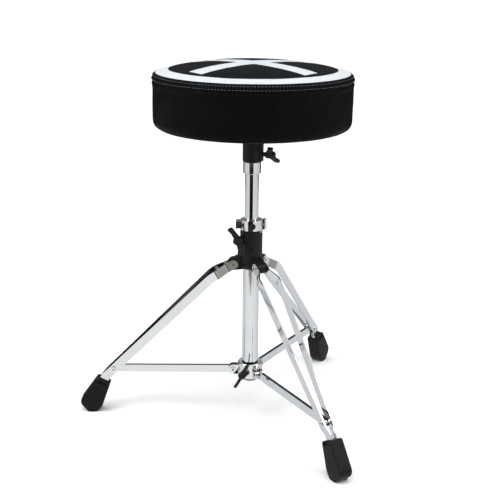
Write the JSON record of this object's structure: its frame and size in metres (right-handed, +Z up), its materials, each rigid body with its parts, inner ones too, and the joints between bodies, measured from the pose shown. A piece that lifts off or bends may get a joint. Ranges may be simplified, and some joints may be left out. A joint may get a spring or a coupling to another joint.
{
  "type": "drum throne",
  "caption": "Round padded drummer's seat on a sliding chrome post with a memory lock, carried by a folding double-braced tripod with rubber feet.",
  "frame": {"origin": "point on the floor under the axis of the seat post, with the tripod open", "axes": "+Z up along the post; the first leg points to -X, the others to +60 and -60 degrees from +X; +X is the side of the seat's wing screw"},
  "size_m": [0.4984, 0.5688, 0.6665],
  "materials": {
    "black_casting": "satin black die casting",
    "black_nylon": "moulded black nylon",
    "black_steel": "satin black powder coat",
    "chrome": "polished chrome plate",
    "foam": "moulded cushion foam",
    "natural_nylon": "natural nylon",
    "plywood": "plywood, stained black",
    "rubber": "black moulded rubber",
    "vinyl": "black upholstery vinyl, fine grain, with a pale printed ring on top",
    "zinc": "bright zinc plate"
  },
  "bodies": {
    "base": {"hub_housing": "black_casting", "hub_bush": "natural_nylon", "base_tube": "chrome", "base_end_cap": "black_nylon", "tube_set_screws": "black_steel", "hub_leg_pins": "chrome"},
    "post": {"seat_post": "chrome", "stop_sleeve": "chrome", "post_top_plug": "black_nylon", "post_bottom_plug": "black_nylon"},
    "seat": {"seat_cover": "vinyl", "seat_foam": "foam", "seat_board": "plywood", "seat_bracket": "black_steel", "seat_socket": "black_steel", "bracket_screws": "zinc", "tee_nuts": "zinc"},
    "seat_wing": {"seat_wing_knob": "black_nylon", "seat_wing_stud": "zinc"},
    "post_wing": {"post_wing_knob": "black_nylon", "post_wing_stud": "zinc"},
    "lock": {"lock_collar": "chrome", "lock_hinge_pin": "chrome"},
    "lock_jaw": {"lock_jaw": "chrome"},
    "lock_bolt": {"lock_key_bolt": "chrome"},
    "spreader": {"spreader_collar": "chrome", "spreader_pins": "chrome"},
    "spreader_wing": {"spreader_wing_knob": "black_nylon", "spreader_wing_stud": "zinc"},
    "leg_1": {"leg_1_foot": "rubber", "leg_1_insert": "natural_nylon", "leg_1_rivets": "chrome", "leg_1_strap_left": "chrome", "leg_1_strap_right": "chrome"},
    "brace_1": {"brace_1": "chrome"},
    "leg_2": {"leg_2_foot": "rubber", "leg_2_insert": "natural_nylon", "leg_2_rivets": "chrome", "leg_2_strap_left": "chrome", "leg_2_strap_right": "chrome"},
    "brace_2": {"brace_2": "chrome"},
    "leg_3": {"leg_3_foot": "rubber", "leg_3_insert": "natural_nylon", "leg_3_rivets": "chrome", "leg_3_strap_left": "chrome", "leg_3_strap_right": "chrome"},
    "brace_3": {"brace_3": "chrome"}
  },
  "joints": [
    {"name": "post_height", "type": "slide", "parent": "base", "child": "post", "axis": [0, 0, 1], "range_m": [-0.075, 0.08]},
    {"name": "seat_swivel", "type": "hinge", "parent": "post", "child": "seat", "pos_m": [0, 0, 0.488], "axis": [0, 0, 1], "continuous": true},
    {"name": "seat_wing_turn", "type": "hinge", "parent": "seat", "child": "seat_wing", "pos_m": [0.02819, -0.01026, 0.502], "axis": [0.9397, -0.342, 0], "range_deg": [0, 720]},
    {"name": "post_wing_turn", "type": "hinge", "parent": "base", "child": "post_wing", "pos_m": [-0.02229, -0.02007, 0.345], "axis": [-0.7431, -0.6691, 0], "range_deg": [0, 720]},
    {"name": "spreader_wing_turn", "type": "hinge", "parent": "spreader", "child": "spreader_wing", "pos_m": [-0.01124, -0.02782, 0.088], "axis": [-0.3746, -0.9272, 0], "range_deg": [0, 720]},
    {"name": "lock_lift", "type": "slide", "parent": "base", "child": "lock", "axis": [0, 0, 1], "range_m": [0, 0.075]},
    {"name": "lock_jaw_swing", "type": "hinge", "parent": "lock", "child": "lock_jaw", "pos_m": [0.0235, 0, 0.3717], "axis": [0, 0, -1], "range_deg": [0, 3]},
    {"name": "lock_bolt_turn", "type": "hinge", "parent": "lock", "child": "lock_bolt", "pos_m": [-0.0225, -0.009, 0.3717], "axis": [0, -1, 0], "range_deg": [0, 720]},
    {"name": "leg_1_fold", "type": "hinge", "parent": "base", "child": "leg_1", "pos_m": [-0.032, 0, 0.297], "axis": [0, -1, 0], "range_deg": [0, 40]},
    {"name": "leg_2_fold", "type": "hinge", "parent": "base", "child": "leg_2", "pos_m": [0.016, 0.02771, 0.297], "axis": [-0.866, 0.5, 0], "range_deg": [0, 40]},
    {"name": "leg_3_fold", "type": "hinge", "parent": "base", "child": "leg_3", "pos_m": [0.016, -0.02771, 0.297], "axis": [0.866, 0.5, 0], "range_deg": [0, 40]},
    {"name": "spreader_slide", "type": "slide", "parent": "base", "child": "spreader", "axis": [0, 0, 1], "range_m": [0, 0.12532]},
    {"name": "brace_1_swing", "type": "hinge", "parent": "spreader", "child": "brace_1", "pos_m": [-0.032, 0, 0.088], "axis": [0, -1, 0], "range_deg": [0, 80]},
    {"name": "brace_2_swing", "type": "hinge", "parent": "spreader", "child": "brace_2", "pos_m": [0.016, 0.02771, 0.088], "axis": [-0.866, 0.5, 0], "range_deg": [0, 80]},
    {"name": "brace_3_swing", "type": "hinge", "parent": "spreader", "child": "brace_3", "pos_m": [0.016, -0.02771, 0.088], "axis": [0.866, 0.5, 0], "range_deg": [0, 80]}
  ],
  "couplings": [
    {"joint": "leg_2_fold", "follows": "leg_1_fold", "ratio": 1},
    {"joint": "leg_3_fold", "follows": "leg_1_fold", "ratio": 1},
    {"joint": "spreader_slide", "follows": "leg_1_fold", "m_per_rad": 0.17947},
    {"joint": "brace_1_swing", "follows": "leg_1_fold", "ratio": 1.9997},
    {"joint": "brace_2_swing", "follows": "leg_1_fold", "ratio": 1.9997},
    {"joint": "brace_3_swing", "follows": "leg_1_fold", "ratio": 1.9997}
  ]
}
